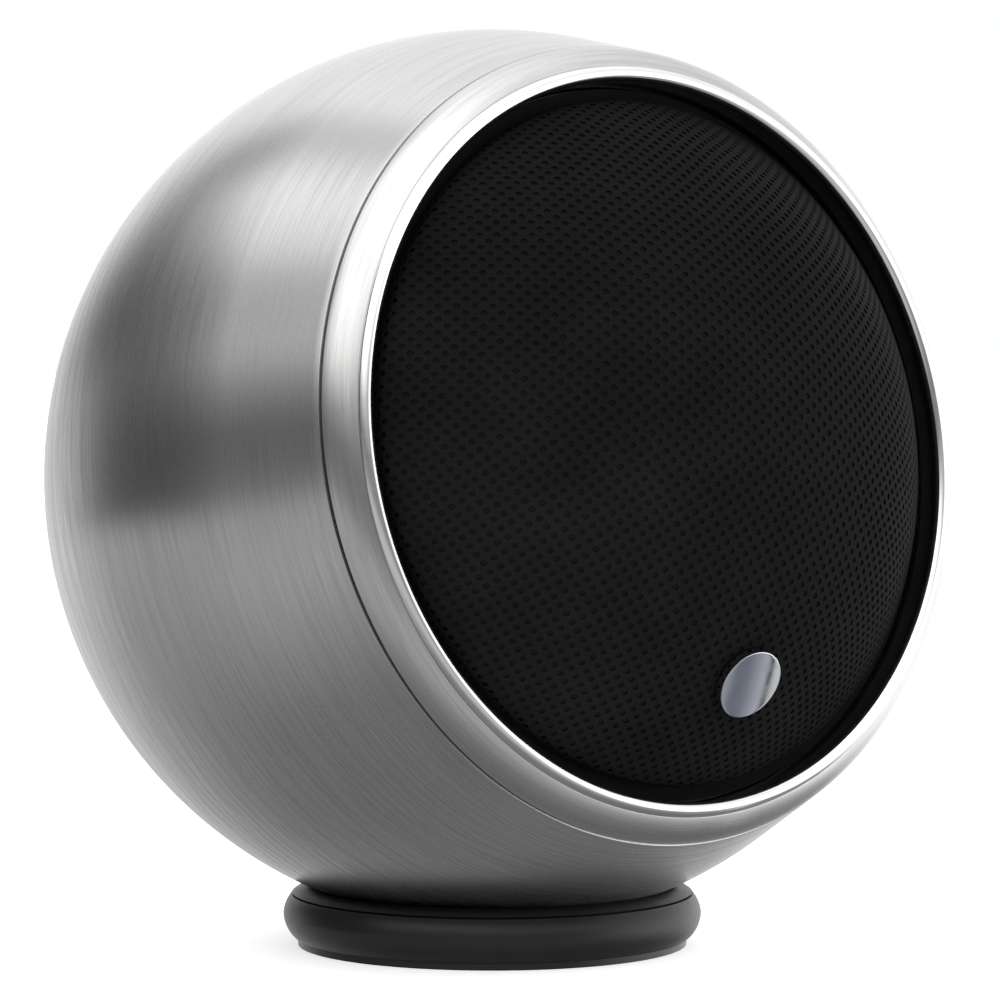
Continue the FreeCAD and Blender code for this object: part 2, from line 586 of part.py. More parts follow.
def make_insert():
    top = "-insert_face + thread_depth"
    turned("stand_insert", [
        (0, f"{top} + insert_wall"), (0, top), ("thread_radius", top),
        ("thread_radius", "-insert_face"), ("insert_radius", "-insert_face"),
        ("insert_radius", "-" + ball_at("insert_flange", "shell_wall + 2 * fit_gap")),
        ("insert_flange", "-" + ball_at("insert_flange", "shell_wall + 2 * fit_gap")),
        ("insert_flange", "insert_wall - " + ball_at("insert_flange", "shell_wall + 2 * fit_gap")),
        ("insert_radius", "insert_wall - " + ball_at("insert_flange", "shell_wall + 2 * fit_gap")),
        ("insert_radius", f"{top} + insert_wall")], along="up")


def make_wadding():
    back = "wadding_front + wadding_thickness"
    turned("wadding", [
        (0, "wadding_front"), ("wadding_radius", "wadding_front", "wadding_thickness / 2", +1),
        ("wadding_radius", back), (0, back)], along="back")


def lead_path(points):
    """Straight runs joined by tangent arcs as large as the runs allow."""
    share = 0.45
    edges, start, radii = [], points[0], []
    for before, corner, after in zip(points, points[1:], points[2:]):
        arriving, leaving = (corner - before), (after - corner)
        cut = share * min(arriving.Length, leaving.Length)
        arriving, leaving = Vector(arriving).normalize(), Vector(leaving).normalize()
        turn = arriving.getAngle(leaving)
        radius = cut / math.tan(turn / 2)
        first, last = corner - arriving * cut, corner + leaving * cut
        inward = (leaving - arriving).normalize()
        middle = corner + inward * (radius / math.cos(turn / 2) - radius)
        edges += [Part.LineSegment(start, first), Part.Arc(first, middle, last)]
        start = last
        radii.append(radius)
    edges.append(Part.LineSegment(start, points[-1]))
    return Part.Wire([edge.toShape() for edge in edges]), radii


def tube(points, radius, label):
    path, radii = lead_path([Vector(*point) for point in points])
    direction = Vector(*points[1]) - Vector(*points[0])
    section = Part.Wire(Part.Circle(Vector(*points[0]), direction, radius).toShape())
    solid = path.makePipeShell([section], True, False)
    if solid.Volume < 0:
        solid.reverse()
    print(f"{label}: length {path.Length:.1f}, tightest arc {min(radii):.1f},"
          f" volume ratio {solid.Volume / (path.Length * math.pi * radius ** 2):.4f}")
    return solid


# the leads' ways, in mm in the head's own frame, for the side at +x; the ends are worked out
LEAD_BENDS = [(9.5, 31.4, 21.0), (9.0, 27.5, 35.0), (7.5, 17.5, 42.0), (5.5, 5.0, 41.5),
              (4.5, -2.0, 34.0)]
FLEX_BENDS = [(4.5, -14.2, 29.0), (4.5, -14.8, 24.5), (4.5, -12.8, 21.2), (4.5, -15.8, 19.4)]
FLEX_START = (4.5, 29.6)


def make_leads():
    """Each lead runs from its solder tag up behind the wadding, over it and down to a driver tab."""
    tag_face = size("cup_floor - cup_floor_wall - tag_wall - 2 * fit_gap")
    tab_face = size("tag_wall + lead_stand_off - strip_back")
    lug, height = size("tag_reach + fit_gap"), size("strip_low + tab_edge + lead_up_tab")
    for colour, sign in (("red", 1), ("black", -1)):
        route = [(size("post_spacing / 2"), tag_face, lug), *LEAD_BENDS,
                 (size("tab_across"), tab_face, height)]
        lead = doc.addObject("Part::Feature", "lead_" + colour)
        lead.Shape = tube([(sign * x, y, z) for x, y, z in route], size("lead_radius"), colour)
        keep(lead, "lead_" + colour, HEAD)
    across, up = FLEX_START
    loop = [(across, -size("strip_back + strip_wall + fit_gap"), up), *FLEX_BENDS]
    loops = [tube([(sign * x, y, z) for x, y, z in loop], size("flex_radius"), "flex")
             for sign in (1, -1)]
    flex = doc.addObject("Part::Feature", "flex_leads")
    flex.Shape = Part.makeCompound(loops)
    keep(flex, "flex_leads", HEAD)


def make_base():
    turned("base_ring", [
        ("base_bore", "foot_height"),
        ("ballast_inner - slip", "foot_height"), ("ballast_inner - slip", "ballast_top + slip"),
        ("ballast_outer + slip", "ballast_top + slip"), ("ballast_outer + slip", "foot_height"),
        ("base_foot_radius", "foot_height", "base_bulge", +1),
        ("base_radius", "base_bulge", "base_bulge", +1),
        ("base_crease", "crease_height"),
        ("base_ledge_radius", "crease_height"),
        ("base_ledge_radius", "base_ledge"),
        ("base_bore", "base_ledge")], BASE, "up")
    turned("ballast_ring", [
        ("ballast_inner", "foot_height + slip"), ("ballast_outer", "foot_height + slip"),
        ("ballast_outer", "ballast_top"), ("ballast_inner", "ballast_top")], BASE, "up")
    turned("foot_pad", [
        ("foot_inner", 0), ("base_foot_radius - 2 * slip", 0),
        ("base_foot_radius - 2 * slip", "foot_height"), ("foot_inner", "foot_height")], BASE, "up")
    skin = "ball_radius + 2 * fit_gap + liner_wall"
    under = "crease_height + crease_gap"
    ledge = "base_ledge + crease_gap"
    rim = "liner_outer + slip"
    turned("seat_collar", [
        ("skirt_inner", "skirt_foot"), ("base_bore - fit_gap", "skirt_foot"),
        ("base_bore - fit_gap", ledge), ("base_ledge_radius - slip", ledge),
        ("base_ledge_radius - slip", under), ("base_crease - slip", under, "lip_dome", +1),
        ("lip_radius", "lip_height"),
        (rim, f"ball_height - sqrt((ball_radius + 2 * fit_gap)^2 - ({rim})^2)"),
        (rim, f"ball_height - sqrt(({skin} + fit_gap)^2 - ({rim})^2)", f"{skin} + fit_gap", -1),
        ("skirt_inner", f"ball_height - sqrt(({skin} + fit_gap)^2 - skirt_inner^2)")], BASE, "up")
    face = "ball_radius + 2 * fit_gap"
    turned("seat_liner", [
        ("liner_inner", f"ball_height - sqrt(({skin})^2 - liner_inner^2)", skin, +1),
        ("liner_outer", f"ball_height - sqrt(({skin})^2 - liner_outer^2)"),
        ("liner_outer", f"ball_height - sqrt(({face})^2 - liner_outer^2)", face, -1),
        ("liner_inner", f"ball_height - sqrt(({face})^2 - liner_inner^2)")], BASE, "up")


def write_parts():
    doc.recompute()
    os.makedirs("parts", exist_ok=True)
    faults = []
    for item in doc.Objects:
        if any(word in state for state in item.State for word in ("Invalid", "Error")):
            faults.append(f"{item.Label}: {item.State}")
    for item in SUBPARTS:
        shape = item.Shape
        if shape.isNull() or not shape.isValid() or shape.Volume <= 0:
            faults.append(f"{item.Label}: bad shape")
        elif not shape.Solids:
            faults.append(f"{item.Label}: no solid")
    for sketch in doc.findObjects("Sketcher::SketchObject"):
        if not sketch.FullyConstrained:
            faults.append(f"{sketch.Label}: not fully constrained")
    if faults:
        raise RuntimeError("; ".join(faults))
    for item in SUBPARTS:
        item.Shape.exportStep(f"parts/{item.Label}.step")
        box = item.Shape.BoundBox
        print(f"{item.Label:16s} solids {len(item.Shape.Solids):2d} volume {item.Shape.Volume:9.1f}"
              f"  x {box.XMin:7.2f} {box.XMax:7.2f}  y {box.YMin:7.2f} {box.YMax:7.2f}"
              f"  z {box.ZMin:7.2f} {box.ZMax:7.2f}")


make_base()
make_shells()
make_baffle()
make_grille()
make_driver()
make_terminals()
make_insert()
make_wadding()
make_leads()
write_parts()
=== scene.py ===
import json
import math

import bmesh
import bpy
import numpy as np
from mathutils import Matrix, Vector, noise


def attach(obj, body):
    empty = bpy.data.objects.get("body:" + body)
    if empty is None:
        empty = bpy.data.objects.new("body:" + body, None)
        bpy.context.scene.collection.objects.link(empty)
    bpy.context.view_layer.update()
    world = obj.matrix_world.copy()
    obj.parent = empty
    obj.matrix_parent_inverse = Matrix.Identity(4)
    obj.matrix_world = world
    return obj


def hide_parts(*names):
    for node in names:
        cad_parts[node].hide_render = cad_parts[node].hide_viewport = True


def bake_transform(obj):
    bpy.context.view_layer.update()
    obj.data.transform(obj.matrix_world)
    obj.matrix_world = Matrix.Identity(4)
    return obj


MM = 0.001
# points this close are taken as level or touching
TOUCH = 0.01 * MM
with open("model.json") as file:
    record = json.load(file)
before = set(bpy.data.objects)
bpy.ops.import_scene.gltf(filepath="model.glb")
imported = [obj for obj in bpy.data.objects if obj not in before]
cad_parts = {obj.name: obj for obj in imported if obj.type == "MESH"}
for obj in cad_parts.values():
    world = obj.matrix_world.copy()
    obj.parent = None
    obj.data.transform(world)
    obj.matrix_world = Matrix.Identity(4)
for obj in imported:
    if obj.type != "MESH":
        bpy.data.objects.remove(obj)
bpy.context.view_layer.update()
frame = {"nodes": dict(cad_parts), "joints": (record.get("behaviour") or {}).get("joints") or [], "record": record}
mounts = {mount["name"]: mount for mount in frame["record"]["mounts"]}
joints = {joint["name"]: joint for joint in frame["joints"]}


# ---- the head's own frame: x right, y up, z forward along the baffle axis ----

FORWARD = -Vector(mounts["socket_red"]["axis"]).normalized()
CENTRE = Vector(joints["head_tilt"]["pos_m"])
RIGHT = Vector((1, 0, 0))
HEAD = Matrix.Translation(CENTRE) @ Matrix((RIGHT, FORWARD.cross(RIGHT), FORWARD)).transposed().to_4x4()
ROW = Matrix.Identity(4)


def points_of(node, home=HEAD):
    """A CAD node's points in one of the two frames, as an array."""
    points = np.array([vertex.co for vertex in frame["nodes"][node].data.vertices])
    back = np.array(home.inverted())
    return points @ back[:3, :3].T + back[:3, 3]


def turned_size(node, home=HEAD):
    """(smallest radius, largest radius, lowest z, highest z) of a turned node about its axis."""
    points = points_of(node, home)
    radii = np.hypot(points[:, 0], points[:, 1])
    return radii.min(), radii.max(), points[:, 2].min(), points[:, 2].max()


# ---- outlines ----

CORNER_STEPS = 3
SMOOTH_BEND, SHARP_BEND = math.radians(20), math.radians(40)


def arc(start, end, radius, turn, step=0.35 * MM):
    """Points after start up to end on the shorter arc; turn +1 goes anticlockwise."""
    start, end = Vector(start), Vector(end)
    chord = end - start
    reach = math.sqrt(max(radius ** 2 - (chord.length / 2) ** 2, 0.0))
    centre = (start + end) / 2 + Vector((-chord.y, chord.x)).normalized() * turn * reach
    first = math.atan2(start.y - centre.y, start.x - centre.x)
    sweep = 2 * math.asin(min(chord.length / 2 / radius, 1.0)) * turn
    count = max(6, math.ceil(abs(sweep) * radius / step))
    return [centre + Vector((math.cos(first + sweep * i / count), math.sin(first + sweep * i / count)))
            * radius for i in range(1, count)] + [end]


def softened(outline, radius):
    """The closed outline with its corners rounded off by a small radius."""
    result, count = [], len(outline)
    for i, point in enumerate(outline):
        point = Vector(point)
        before, after = Vector(outline[i - 1]), Vector(outline[(i + 1) % count])
        arriving, leaving = point - before, after - point
        if arriving.angle(leaving, 0) < SMOOTH_BEND:
            result.append(point)
            continue
        cut = min(radius, 0.45 * arriving.length, 0.45 * leaving.length)
        first, last = point - arriving.normalized() * cut, point + leaving.normalized() * cut
        for k in range(CORNER_STEPS + 1):
            t = k / CORNER_STEPS
            result.append(first * (1 - t) ** 2 + point * 2 * t * (1 - t) + last * t ** 2)
    return result


def divided(outline, longest):
    """The closed outline with its long straight runs cut into shorter ones."""
    result = []
    for start, end in zip(outline, [*outline[1:], outline[0]]):
        start, end = Vector(start), Vector(end)
        pieces = max(1, math.ceil((end - start).length / longest))
        result += [start.lerp(end, i / pieces) for i in range(pieces)]
    return result


# ---- pieces ----

ROUND_SIDES, SMALL_SIDES = 256, 48


def new_piece(name, vertices, faces, home=HEAD):
    """A smooth-shaded piece with outward faces and crisp edges, standing in one of the two frames."""
    mesh = bpy.data.meshes.new(name)
    mesh.from_pydata([tuple(v) for v in vertices], [], faces)
    tidy = bmesh.new()
    tidy.from_mesh(mesh)
    bmesh.ops.remove_doubles(tidy, verts=tidy.verts, dist=1e-7)
    bmesh.ops.recalc_face_normals(tidy, faces=tidy.faces)
    tidy.to_mesh(mesh)
    tidy.free()
    mesh.shade_smooth()
    mesh.set_sharp_from_angle(angle=SHARP_BEND)
    piece = bpy.data.objects.new(name, mesh)
    piece.matrix_world = home
    bpy.context.scene.collection.objects.link(piece)
    return piece


def lathe(name, outline, home=HEAD, count=ROUND_SIDES, closed=True):
    """A piece turned about its frame's z axis. The outline holds (radius, z) points."""
    rings, vertices, faces = [], [], []
    for radius, z in outline:
        if radius < 1e-6:
            rings.append([len(vertices)] * count)
            vertices.append((0, 0, z))
            continue
        rings.append(list(range(len(vertices), len(vertices) + count)))
        vertices += [(radius * math.cos(2 * math.pi * i / count),
                      radius * math.sin(2 * math.pi * i / count), z) for i in range(count)]
    pairs = list(zip(rings, rings[1:])) + ([(rings[-1], rings[0])] if closed else [])
    for low, high in pairs:
        for i in range(count):
            k = (i + 1) % count
            corners = list(dict.fromkeys((low[i], low[k], high[k], high[i])))
            if len(corners) > 2:
                faces.append(corners)
    return new_piece(name, vertices, faces, home)


def settle(piece, body, slot, *nodes):
    """Ride the piece on its body, give it its slot's finish and let it stand for CAD nodes."""
    piece.data.materials.clear()
    piece.data.materials.append(bpy.data.materials[slot])
    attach(piece, body)
    if nodes:
        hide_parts(*nodes)
    return piece


def cut(piece, *cutters):
    """Take the cutters' shapes out of the piece and throw them away."""
    for cutter in cutters:
        change = piece.modifiers.new("cut", "BOOLEAN")
        change.operation, change.solver, change.object = "DIFFERENCE", "EXACT", cutter
    bpy.context.view_layer.update()
    mesh = bpy.data.meshes.new_from_object(piece.evaluated_get(bpy.context.evaluated_depsgraph_get()))
    piece.modifiers.clear()
    piece.data = mesh
    for cutter in cutters:
        bpy.data.objects.remove(cutter)
    mesh.set_sharp_from_angle(angle=SHARP_BEND)


def rod(radius, low, high, home):
    """A round cutter along its frame's z axis."""
    outline = [(0, low), (radius, low), (radius, high), (0, high)]
    return lathe("cutter", outline, home, SMALL_SIDES, False)


# ---- materials ----

class Finish:
    """The node tree of one of the record's material slots, built afresh."""

    def __init__(self, slot, **shader):
        self.material = bpy.data.materials[slot]
        self.material.use_nodes = True
        self.tree = self.material.node_tree
        self.tree.nodes.clear()
        output = self.tree.nodes.new("ShaderNodeOutputMaterial")
        self.shader = self.tree.nodes.new("ShaderNodeBsdfPrincipled")
        self.tree.links.new(self.shader.outputs[0], output.inputs["Surface"])
        for name, value in shader.items():
            self.shader.inputs[name.replace("_", " ")].default_value = value

    @classmethod
    def on(cls, tree):
        """The same tools on a tree that isn't a slot's."""
        tools = cls.__new__(cls)
        tools.tree = tree
        return tools

    def add(self, kind, inputs=(), output=0, **settings):
        """A new node; an input is a value or a socket to link. Gives back one of its outputs."""
        made = self.tree.nodes.new("ShaderNode" + kind)
        for name, value in settings.items():
            setattr(made, name, value)
        for key, value in dict(inputs).items():
            if isinstance(value, bpy.types.NodeSocket):
                self.tree.links.new(value, made.inputs[key])
            else:
                made.inputs[key].default_value = value
        return made.outputs[output]

    def math(self, operation, *values):
        return self.add("Math", enumerate(values), operation=operation)

    def place(self):
        return self.add("TexCoord", output="Object")

    def noise(self, place, scale, detail=2.0, roughness=0.5, distortion=0.0):
        return self.add("TexNoise", {"Vector": place, "Scale": scale, "Detail": detail,
                                     "Roughness": roughness, "Distortion": distortion})

    def range(self, value, low, high, to_low, to_high):
        return self.add("MapRange", {0: value, 1: low, 2: high, 3: to_low, 4: to_high}, clamp=True)

    def colours(self, value, *stops):
        """A colour ramp; each stop is (place, (r, g, b))."""
        made = self.tree.nodes.new("ShaderNodeValToRGB")
        ramp = made.color_ramp
        while len(ramp.elements) < len(stops):
            ramp.elements.new(0.5)
        for element, (at, colour) in zip(ramp.elements, stops):
            element.position, element.color = at, (*colour, 1)
        self.tree.links.new(value, made.inputs[0])
        return made.outputs[0]

    def mix(self, share, first, second):
        made = self.tree.nodes.new("ShaderNodeMix")
        made.data_type = "RGBA"
        for socket, value in ((0, share), (6, first), (7, second)):
            if isinstance(value, bpy.types.NodeSocket):
                self.tree.links.new(value, made.inputs[socket])
            else:
                made.inputs[socket].default_value = value if socket == 0 else (*value, 1)
        return made.outputs[2]

    def bump(self, height, distance, strength):
        made = self.tree.nodes.new("ShaderNodeBump")
        made.inputs["Strength"].default_value = strength
        made.inputs["Distance"].default_value = distance
        self.tree.links.new(height, made.inputs["Height"])
        return made.outputs[0]

    def set(self, **links):
        """Link sockets into the slot's shader."""
        for name, socket in links.items():
            self.tree.links.new(socket, self.shader.inputs[name.replace("_", " ")])


def turning_place(finish, across, around):
    """Texture coordinates for marks left by turning: slow round the axis, quick along the outline."""
    split = finish.add("SeparateXYZ", {0: finish.place()})
    x, y, z = split.node.outputs
    radius = finish.math("SQRT", finish.math("ADD", finish.math("MULTIPLY", x, x),
                                             finish.math("MULTIPLY", y, y)))
    polar = finish.math("ARCTAN2", radius, z)
    return finish.add("CombineXYZ", {
        0: finish.math("MULTIPLY", finish.math("DIVIDE", x, radius), around),
        1: finish.math("MULTIPLY", finish.math("DIVIDE", y, radius), around),
        2: finish.math("MULTIPLY", polar, across)})


def brushed_steel(slot, colour, roughness, across=420.0, around=2.6):
    """Lathe-brushed metal: long scratches round the axis, and reflections drawn out across them."""
    finish = Finish(slot, Metallic=1.0, Anisotropic=0.9, Anisotropic_Rotation=0.25)
    fine = finish.noise(turning_place(finish, across * 2.2, around * 2), 1.0, 3.0, 0.65)
    broad = finish.noise(turning_place(finish, across * 0.25, around), 1.0, 4.0, 0.7)
    streaks = finish.math("ADD", finish.math("MULTIPLY", fine, 0.55),
                          finish.math("MULTIPLY", broad, 0.45))
    dark, light = [tuple(c * k for c in colour) for k in (0.77, 1.15)]
    finish.set(
        Base_Color=finish.colours(streaks, (0.32, dark), (0.5, colour), (0.68, light)),
        Roughness=finish.range(streaks, 0.3, 0.7, roughness * 1.25, roughness * 0.8),
        Normal=finish.bump(streaks, 0.008 * MM, 0.7),
        Tangent=finish.add("Tangent", direction_type="RADIAL", axis="Z"))


def polished_steel(slot, colour, roughness):
    """Buffed metal with wiping marks and hairlines round the axis."""
    finish = Finish(slot, Metallic=1.0)
    wipe = finish.noise(finish.place(), 400.0, 4.0, 0.6, 0.6)
    hair = finish.noise(turning_place(finish, 900.0, 3.0), 1.0, 2.0)
    finish.set(
        Base_Color=finish.colours(wipe, (0.3, tuple(c * 0.97 for c in colour)), (0.7, colour)),
        Roughness=finish.range(finish.math("MULTIPLY", wipe, hair), 0.15, 0.4,
                               roughness * 0.7, roughness * 1.5),
        Normal=finish.bump(hair, 0.0006 * MM, 0.3))


def moulded(slot, colour, roughness, grain=900.0, depth=0.01, **shader):
    """Plastic or rubber from a spark-eroded mould: a fine pebbled skin and slight wear."""
    finish = Finish(slot, **shader)
    pebble = finish.noise(finish.place(), grain, 3.0, 0.6)
    drift = finish.noise(finish.place(), 60.0, 3.0, 0.55)
    shade = [tuple(c * k for c in colour) for k in (0.8, 1.25)]
    finish.set(
        Base_Color=finish.colours(drift, (0.3, shade[0]), (0.7, shade[1])),
        Roughness=finish.range(finish.math("ADD", finish.math("MULTIPLY", pebble, 0.5),
                                           finish.math("MULTIPLY", drift, 0.5)),
                               0.3, 0.7, roughness * 0.85, roughness * 1.15),
        Normal=finish.bump(pebble, depth * MM, 0.6))


def plated(slot, colour, roughness, grain=700.0):
    """Machined or plated metal with a slight drift of tint and fine pitting."""
    finish = Finish(slot, Metallic=1.0)
    cloud = finish.noise(finish.place(), 120.0, 4.0, 0.6)
    pits = finish.noise(finish.place(), grain * 3, 2.0)
    finish.set(
        Base_Color=finish.colours(cloud, (0.3, tuple(c * 0.8 for c in colour)), (0.7, colour)),
        Roughness=finish.range(cloud, 0.3, 0.7, roughness * 1.3, roughness * 0.8),
        Normal=finish.bump(pits, 0.002 * MM, 0.5))


def fibrous(slot, colour, scale, roughness=0.9, depth=0.03, **shader):
    """Paper, felt or wadding: matted fibres from stretched noise laid two ways."""
    finish = Finish(slot, **shader)
    lines = []
    for stretch in ((scale, scale * 5, scale), (scale * 5, scale, scale * 2)):
        place = finish.add("Mapping", {"Vector": finish.place(), "Scale": stretch})
        lines.append(finish.noise(place, 1.0, 5.0, 0.6, 1.2))
    felt = finish.math("MULTIPLY", finish.math("ADD", *lines), 0.5)
    finish.set(
        Base_Color=finish.colours(felt, (0.35, tuple(c * 0.6 for c in colour)), (0.5, colour),
                                  (0.65, tuple(min(c * 1.35, 1) for c in colour))),
        Roughness=finish.range(felt, 0.3, 0.7, roughness, roughness * 0.85),
        Normal=finish.bump(felt, depth * MM, 0.9))


brushed_steel("shell_steel", (0.60, 0.597, 0.594), 0.26)
polished_steel("trim_steel", (0.86, 0.86, 0.865), 0.14)
polished_steel("badge_steel", (0.72, 0.74, 0.79), 0.05)
moulded("black_plastic", (0.012, 0.012, 0.013), 0.5)
moulded("gasket_rubber", (0.02, 0.02, 0.02), 0.75)
plated("black_screw", (0.05, 0.05, 0.055), 0.4)
plated("magnet_nickel", (0.68, 0.66, 0.62), 0.22)
moulded("grille_cloth", (0.0074, 0.0074, 0.008), 0.7, 2600.0, 0.02, Specular_IOR_Level=0.02)
plated("plain_steel", (0.5, 0.49, 0.48), 0.4)
moulded("basket_paint", (0.015, 0.015, 0.017), 0.42)
moulded("ferrite", (0.045, 0.044, 0.046), 0.6)
fibrous("cone_paper", (0.02, 0.02, 0.021), 900.0)
fibrous("cap_paper", (0.014, 0.014, 0.015), 1100.0, 0.75)
moulded("surround_rubber", (0.012, 0.012, 0.012), 0.45, 1500.0, 0.006)
fibrous("spider_cloth", (0.42, 0.27, 0.09), 1400.0)
plated("former_aluminium", (0.75, 0.76, 0.77), 0.3)
plated("coil_copper", (0.72, 0.33, 0.16), 0.3)
moulded("strip_phenolic", (0.22, 0.09, 0.035), 0.45)
plated("brass", (0.78, 0.6, 0.28), 0.28)
plated("gold_plate", (0.95, 0.68, 0.27), 0.16)
moulded("red_plastic", (0.5, 0.012, 0.012), 0.28, 500.0, 0.002)
moulded("black_gloss", (0.01, 0.01, 0.011), 0.25, 500.0, 0.002)
fibrous("wadding_fibre", (0.78, 0.77, 0.73), 500.0, 0.95, 0.2)
moulded("red_wire", (0.45, 0.02, 0.015), 0.4)
moulded("black_wire", (0.015, 0.015, 0.016), 0.4)
moulded("base_rubber", (0.009, 0.009, 0.0095), 0.42, 1800.0, 0.006, Specular_IOR_Level=0.4)
fibrous("liner_felt", (0.03, 0.03, 0.03), 1200.0)


# ---- the ball ----

_, _, _, seam_back = turned_size("rear_shell")
rear_points = points_of("rear_shell")
# the ball's own radius and wall show in a band just behind its middle
BAND = 10 * MM
behind = np.sqrt((rear_points[np.abs(rear_points[:, 2] + BAND) < BAND] ** 2).sum(1))
BALL, SHELL_WALL = float(behind.max()), float(behind.max() - behind.min())
seam_rows = rear_points[rear_points[:, 2] > seam_back - TOUCH]
seam_radius = float(np.hypot(seam_rows[:, 0], seam_rows[:, 1]).max())
# the shells are a cone from the shoulder to the seam, and the cone touches the ball there
SHOULDER = math.atan2(seam_back, seam_radius) - math.acos(BALL / math.hypot(seam_radius, seam_back))


def cone_radius(z, depth=0.0):
    """The shells' radius at a height on that cone, at a depth below the surface."""
    return (BALL - depth - z * math.sin(SHOULDER)) / math.cos(SHOULDER)


EDGE, FINE_EDGE, SMALL_GAP = 0.12 * MM, 0.04 * MM, 0.05 * MM
SHELL_SIDES = 320
LONG_RUN, SHORT_RUN = 0.8 * MM, 0.5 * MM


def make_rear_shell():
    """The ball's back: open at the rear with a ledge for the cup, and bored for the stand's insert."""
    rear_rows = rear_points[rear_points[:, 2] < 0]
    ledge_inner = float(np.hypot(rear_rows[:, 0], rear_rows[:, 1]).min())
    mouth_z = float(rear_points[:, 2].min())
    mouth = math.sqrt(BALL ** 2 - mouth_z ** 2)
    ledge_rows = rear_rows[np.hypot(rear_rows[:, 0], rear_rows[:, 1]) < ledge_inner + SMALL_GAP]
    ledge_back, ledge_front = float(ledge_rows[:, 2].min()), float(ledge_rows[:, 2].max())
    inner = BALL - SHELL_WALL
    shoulder = Vector((math.cos(SHOULDER), math.sin(SHOULDER)))
    ledge_wall = (math.sqrt(inner ** 2 - ledge_front ** 2), ledge_front)
    outline = [
        (mouth, mouth_z),
        *arc((mouth, mouth_z), shoulder * BALL, BALL, +1),
        (cone_radius(seam_back), seam_back),
        (cone_radius(seam_back, SHELL_WALL), seam_back),
        tuple(shoulder * inner),
        *arc(shoulder * inner, ledge_wall, inner, -1),
        (ledge_inner, ledge_front),
        (ledge_inner, ledge_back),
        (mouth, ledge_back)]
    piece = lathe("ball_rear", divided(softened(outline, FINE_EDGE), LONG_RUN), count=SHELL_SIDES)
    insert = Matrix.Translation(CENTRE) @ HEAD.to_3x3().to_4x4() @ Matrix.Rotation(math.pi / 2, 4, "X")
    face = np.abs(points_of("stand_insert", insert)[:, 2]) > 0.9 * BALL
    bore = float(np.hypot(*points_of("stand_insert", insert)[face][:, :2].T).max())
    cut(piece, rod(bore + SMALL_GAP, BALL - 4 * SHELL_WALL, BALL + SHELL_WALL, insert))
    settle(piece, "head", "shell_steel", "rear_shell")


def make_front_shell():
    """The ball's front: on from the seam, then rounded in to the trim ring."""
    points = points_of("front_shell")
    radii = np.hypot(points[:, 0], points[:, 1])
    seam_front, lip = float(points[:, 2].min()), float(points[:, 2].max())
    step = points[radii < radii.min() + TOUCH][:, 2].min()
    inner = float(turned_size("trim_ring")[1]) + TOUCH
    start = Vector((cone_radius(seam_front), seam_front))
    chord = Vector((inner, lip)) - start
    rounding = chord.length / 2 / math.sin(math.atan2(-chord.x, chord.y) - SHOULDER)
    outline = [
        tuple(start), *arc(start, (inner, lip), rounding, +1, 0.12 * MM),
        (inner, float(step)),
        (cone_radius(seam_front, SHELL_WALL), seam_front)]
    settle(lathe("ball_front", divided(softened(outline, FINE_EDGE), SHORT_RUN), count=SHELL_SIDES),
           "head", "shell_steel", "front_shell")


def make_trim_ring():
    """The bright ring round the grille, with a half-round bead at its front."""
    inner, outer, back, front = turned_size("trim_ring")
    bead = (outer - inner) / 2
    outline = [
        (inner, back), (outer, back), (outer, front - bead),
        *arc((outer, front - bead), (inner, front - bead), bead, +1, 0.06 * MM)]
    settle(lathe("trim_bead", divided(softened(outline, EDGE), SHORT_RUN), count=SHELL_SIDES),
           "head", "trim_steel", "trim_ring")


make_rear_shell()
make_front_shell()
make_trim_ring()


# ---- the grille ----

GRILLE_BACK, GRILLE_CROWN = turned_size("grille_mesh")[2:]
GRILLE_RADIUS = turned_size("grille_mesh")[1]
CLOTH, SCRIM, SCRIM_GAP = 0.22 * MM, 0.1 * MM, 0.04 * MM
# the rounding between the dome and the skirt
ROLL = 1.2 * MM
# the dome's centre is the head frame's origin
DOME = GRILLE_CROWN
# the knit's two steps from one opening to the next, right and up the grille
STEP_A, STEP_B = Vector((-0.75, 1.025)) * MM, Vector((1.126, 0.635)) * MM
# somewhat less than a step's length, and the unpierced strip at the skirt's foot
PITCH, PLAIN_EDGE = 1.2 * MM, 0.62 * MM
# half an opening's width as a share of a step, and how much it varies
OPEN_SHARE, OPEN_SPREAD = 0.265, 0.025
# depths below the dome's face: the threads, an opening's lip and an unpierced cell's middle
THREAD_DEPTH, LIP_DEPTH, PLAIN_DEPTH = 0.05 * MM, 0.06 * MM, 0.1 * MM
# how far the rows stray, in millimetres, and over what distance
STRAY, STRAY_SPAN = 0.16, 9 * MM
# neighbouring cells' points this close are one point; edges shorter than the second vanish
WELD, SLIVER = 0.004 * MM, 0.002 * MM


class GrilleForm:
    """The dome, its rolled edge and its skirt, followed by distance from the middle."""

    roll_radius = GRILLE_RADIUS - ROLL
    lean = math.asin(roll_radius / (DOME - ROLL))
    roll_z = (DOME - ROLL) * math.cos(lean)
    dome_length, roll_length = DOME * lean, ROLL * (math.pi / 2 - lean)
    skirt_length = roll_z - GRILLE_BACK
    length = dome_length + roll_length + skirt_length

    @classmethod
    def at(cls, distance, depth=0.0):
        """(radius, z) at a distance along the form and a depth below its face."""
        if distance <= cls.dome_length:
            turn = distance / DOME
            return (DOME - depth) * math.sin(turn), (DOME - depth) * math.cos(turn)
        if distance <= cls.dome_length + cls.roll_length:
            turn = cls.lean + (distance - cls.dome_length) / ROLL
            return (cls.roll_radius + (ROLL - depth) * math.sin(turn),
                    cls.roll_z + (ROLL - depth) * math.cos(turn))
        return (cls.roll_radius + ROLL - depth,
                cls.roll_z - (distance - cls.dome_length - cls.roll_length))


